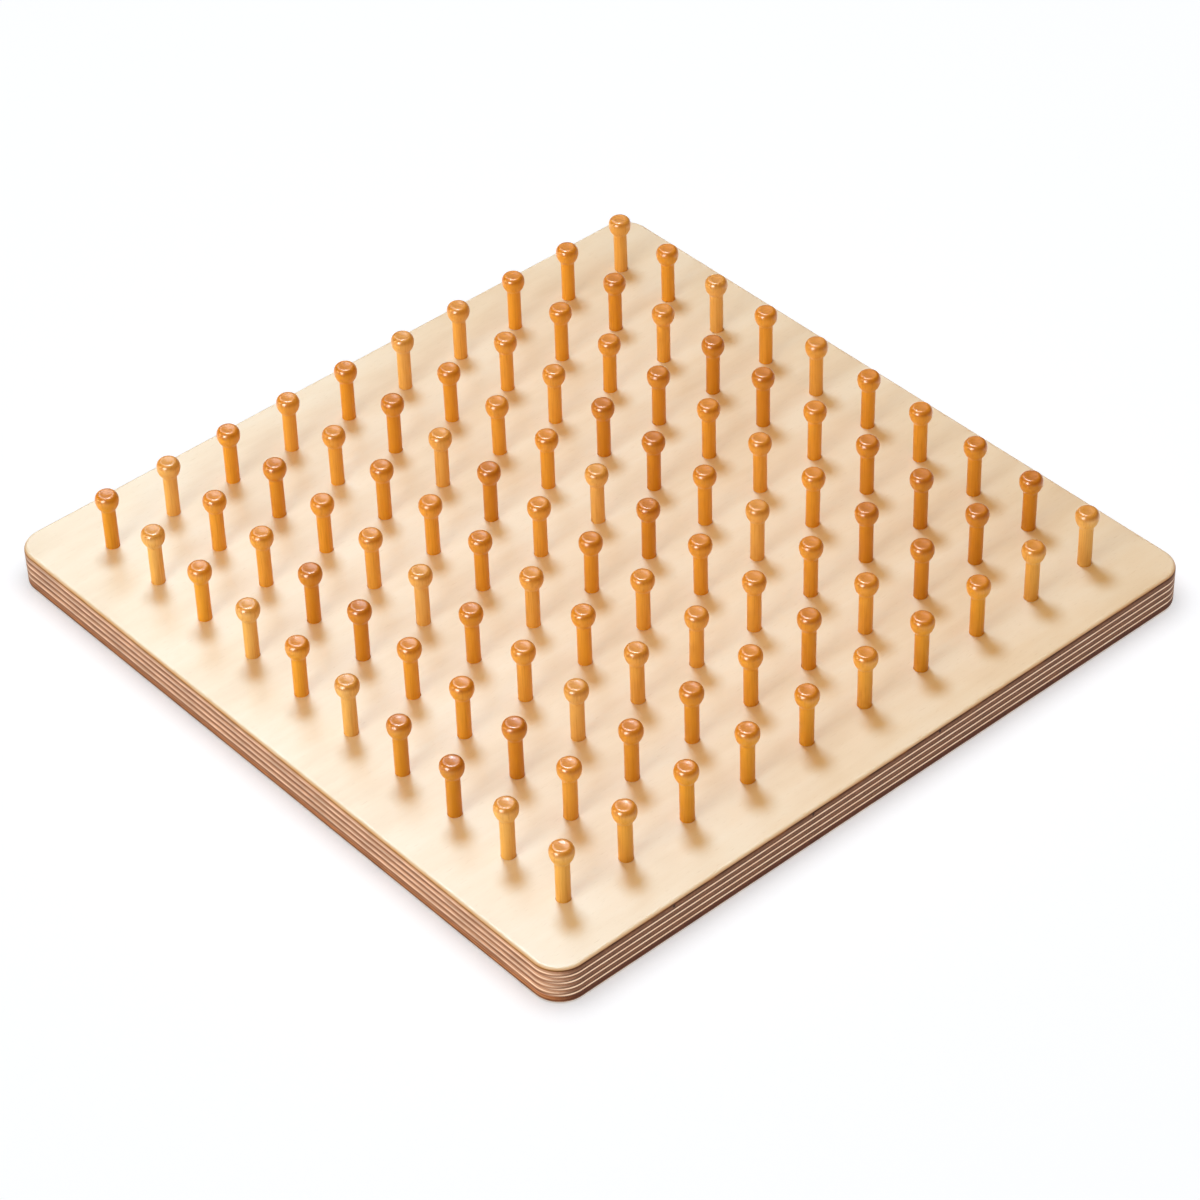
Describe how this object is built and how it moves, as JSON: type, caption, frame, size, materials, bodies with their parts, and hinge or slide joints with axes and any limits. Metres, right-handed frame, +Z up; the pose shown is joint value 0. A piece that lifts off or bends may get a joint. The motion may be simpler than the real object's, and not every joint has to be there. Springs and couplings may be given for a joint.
{
  "type": "geoboard",
  "caption": "Square laminated birch board with rounded corners and a regular grid of turned, varnished, ball-headed wooden pegs, for stretching rubber bands into shapes.",
  "frame": {"origin": "middle of the underside, on the surface that the board lies on", "axes": "+Z up out of the peg side, +X and +Y along the two directions of the peg grid"},
  "size_m": [0.289, 0.289, 0.0383],
  "materials": {
    "lacquered_birch_face": "satin lacquer over pale rotary-cut birch",
    "laminated_core": "sanded and sealed plywood edge, dark end-grain plies between thin light ones",
    "light_long_ply": "sanded long-grain ply edge",
    "dark_end_ply": "sanded and sealed end-grain ply edge",
    "sanded_birch_back": "sanded birch, thinly sealed",
    "varnished_peg_wood": "honey-coloured gloss varnish over turned hardwood"
  },
  "bodies": {
    "root": {"face_veneer": "lacquered_birch_face", "drilled_core": "laminated_core", "inner_ply_8": "light_long_ply", "inner_ply_9": "dark_end_ply", "back_veneer": "sanded_birch_back", "peg_r01_c01": "varnished_peg_wood", "peg_r01_c03": "varnished_peg_wood", "peg_r01_c05": "varnished_peg_wood", "peg_r01_c07": "varnished_peg_wood", "peg_r01_c09": "varnished_peg_wood", "peg_r02_c02": "varnished_peg_wood", "peg_r02_c04": "varnished_peg_wood", "peg_r02_c06": "varnished_peg_wood", "peg_r02_c08": "varnished_peg_wood", "peg_r02_c10": "varnished_peg_wood", "peg_r03_c01": "varnished_peg_wood", "peg_r03_c03": "varnished_peg_wood", "peg_r03_c05": "varnished_peg_wood", "peg_r03_c07": "varnished_peg_wood", "peg_r03_c09": "varnished_peg_wood", "peg_r04_c02": "varnished_peg_wood", "peg_r04_c04": "varnished_peg_wood", "peg_r04_c06": "varnished_peg_wood", "peg_r04_c08": "varnished_peg_wood", "peg_r04_c10": "varnished_peg_wood", "peg_r05_c01": "varnished_peg_wood", "peg_r05_c03": "varnished_peg_wood", "peg_r05_c05": "varnished_peg_wood", "peg_r05_c07": "varnished_peg_wood", "peg_r05_c09": "varnished_peg_wood", "peg_r06_c02": "varnished_peg_wood", "peg_r06_c04": "varnished_peg_wood", "peg_r06_c06": "varnished_peg_wood", "peg_r06_c08": "varnished_peg_wood", "peg_r06_c10": "varnished_peg_wood", "peg_r07_c01": "varnished_peg_wood", "peg_r07_c03": "varnished_peg_wood", "peg_r07_c05": "varnished_peg_wood", "peg_r07_c07": "varnished_peg_wood", "peg_r07_c09": "varnished_peg_wood", "peg_r08_c02": "varnished_peg_wood", "peg_r08_c04": "varnished_peg_wood", "peg_r08_c06": "varnished_peg_wood", "peg_r08_c08": "varnished_peg_wood", "peg_r08_c10": "varnished_peg_wood", "peg_r09_c01": "varnished_peg_wood", "peg_r09_c03": "varnished_peg_wood", "peg_r09_c05": "varnished_peg_wood", "peg_r09_c07": "varnished_peg_wood", "peg_r09_c09": "varnished_peg_wood", "peg_r10_c02": "varnished_peg_wood", "peg_r10_c04": "varnished_peg_wood", "peg_r10_c06": "varnished_peg_wood", "peg_r10_c08": "varnished_peg_wood", "peg_r10_c10": "varnished_peg_wood"}
  },
  "joints": []
}
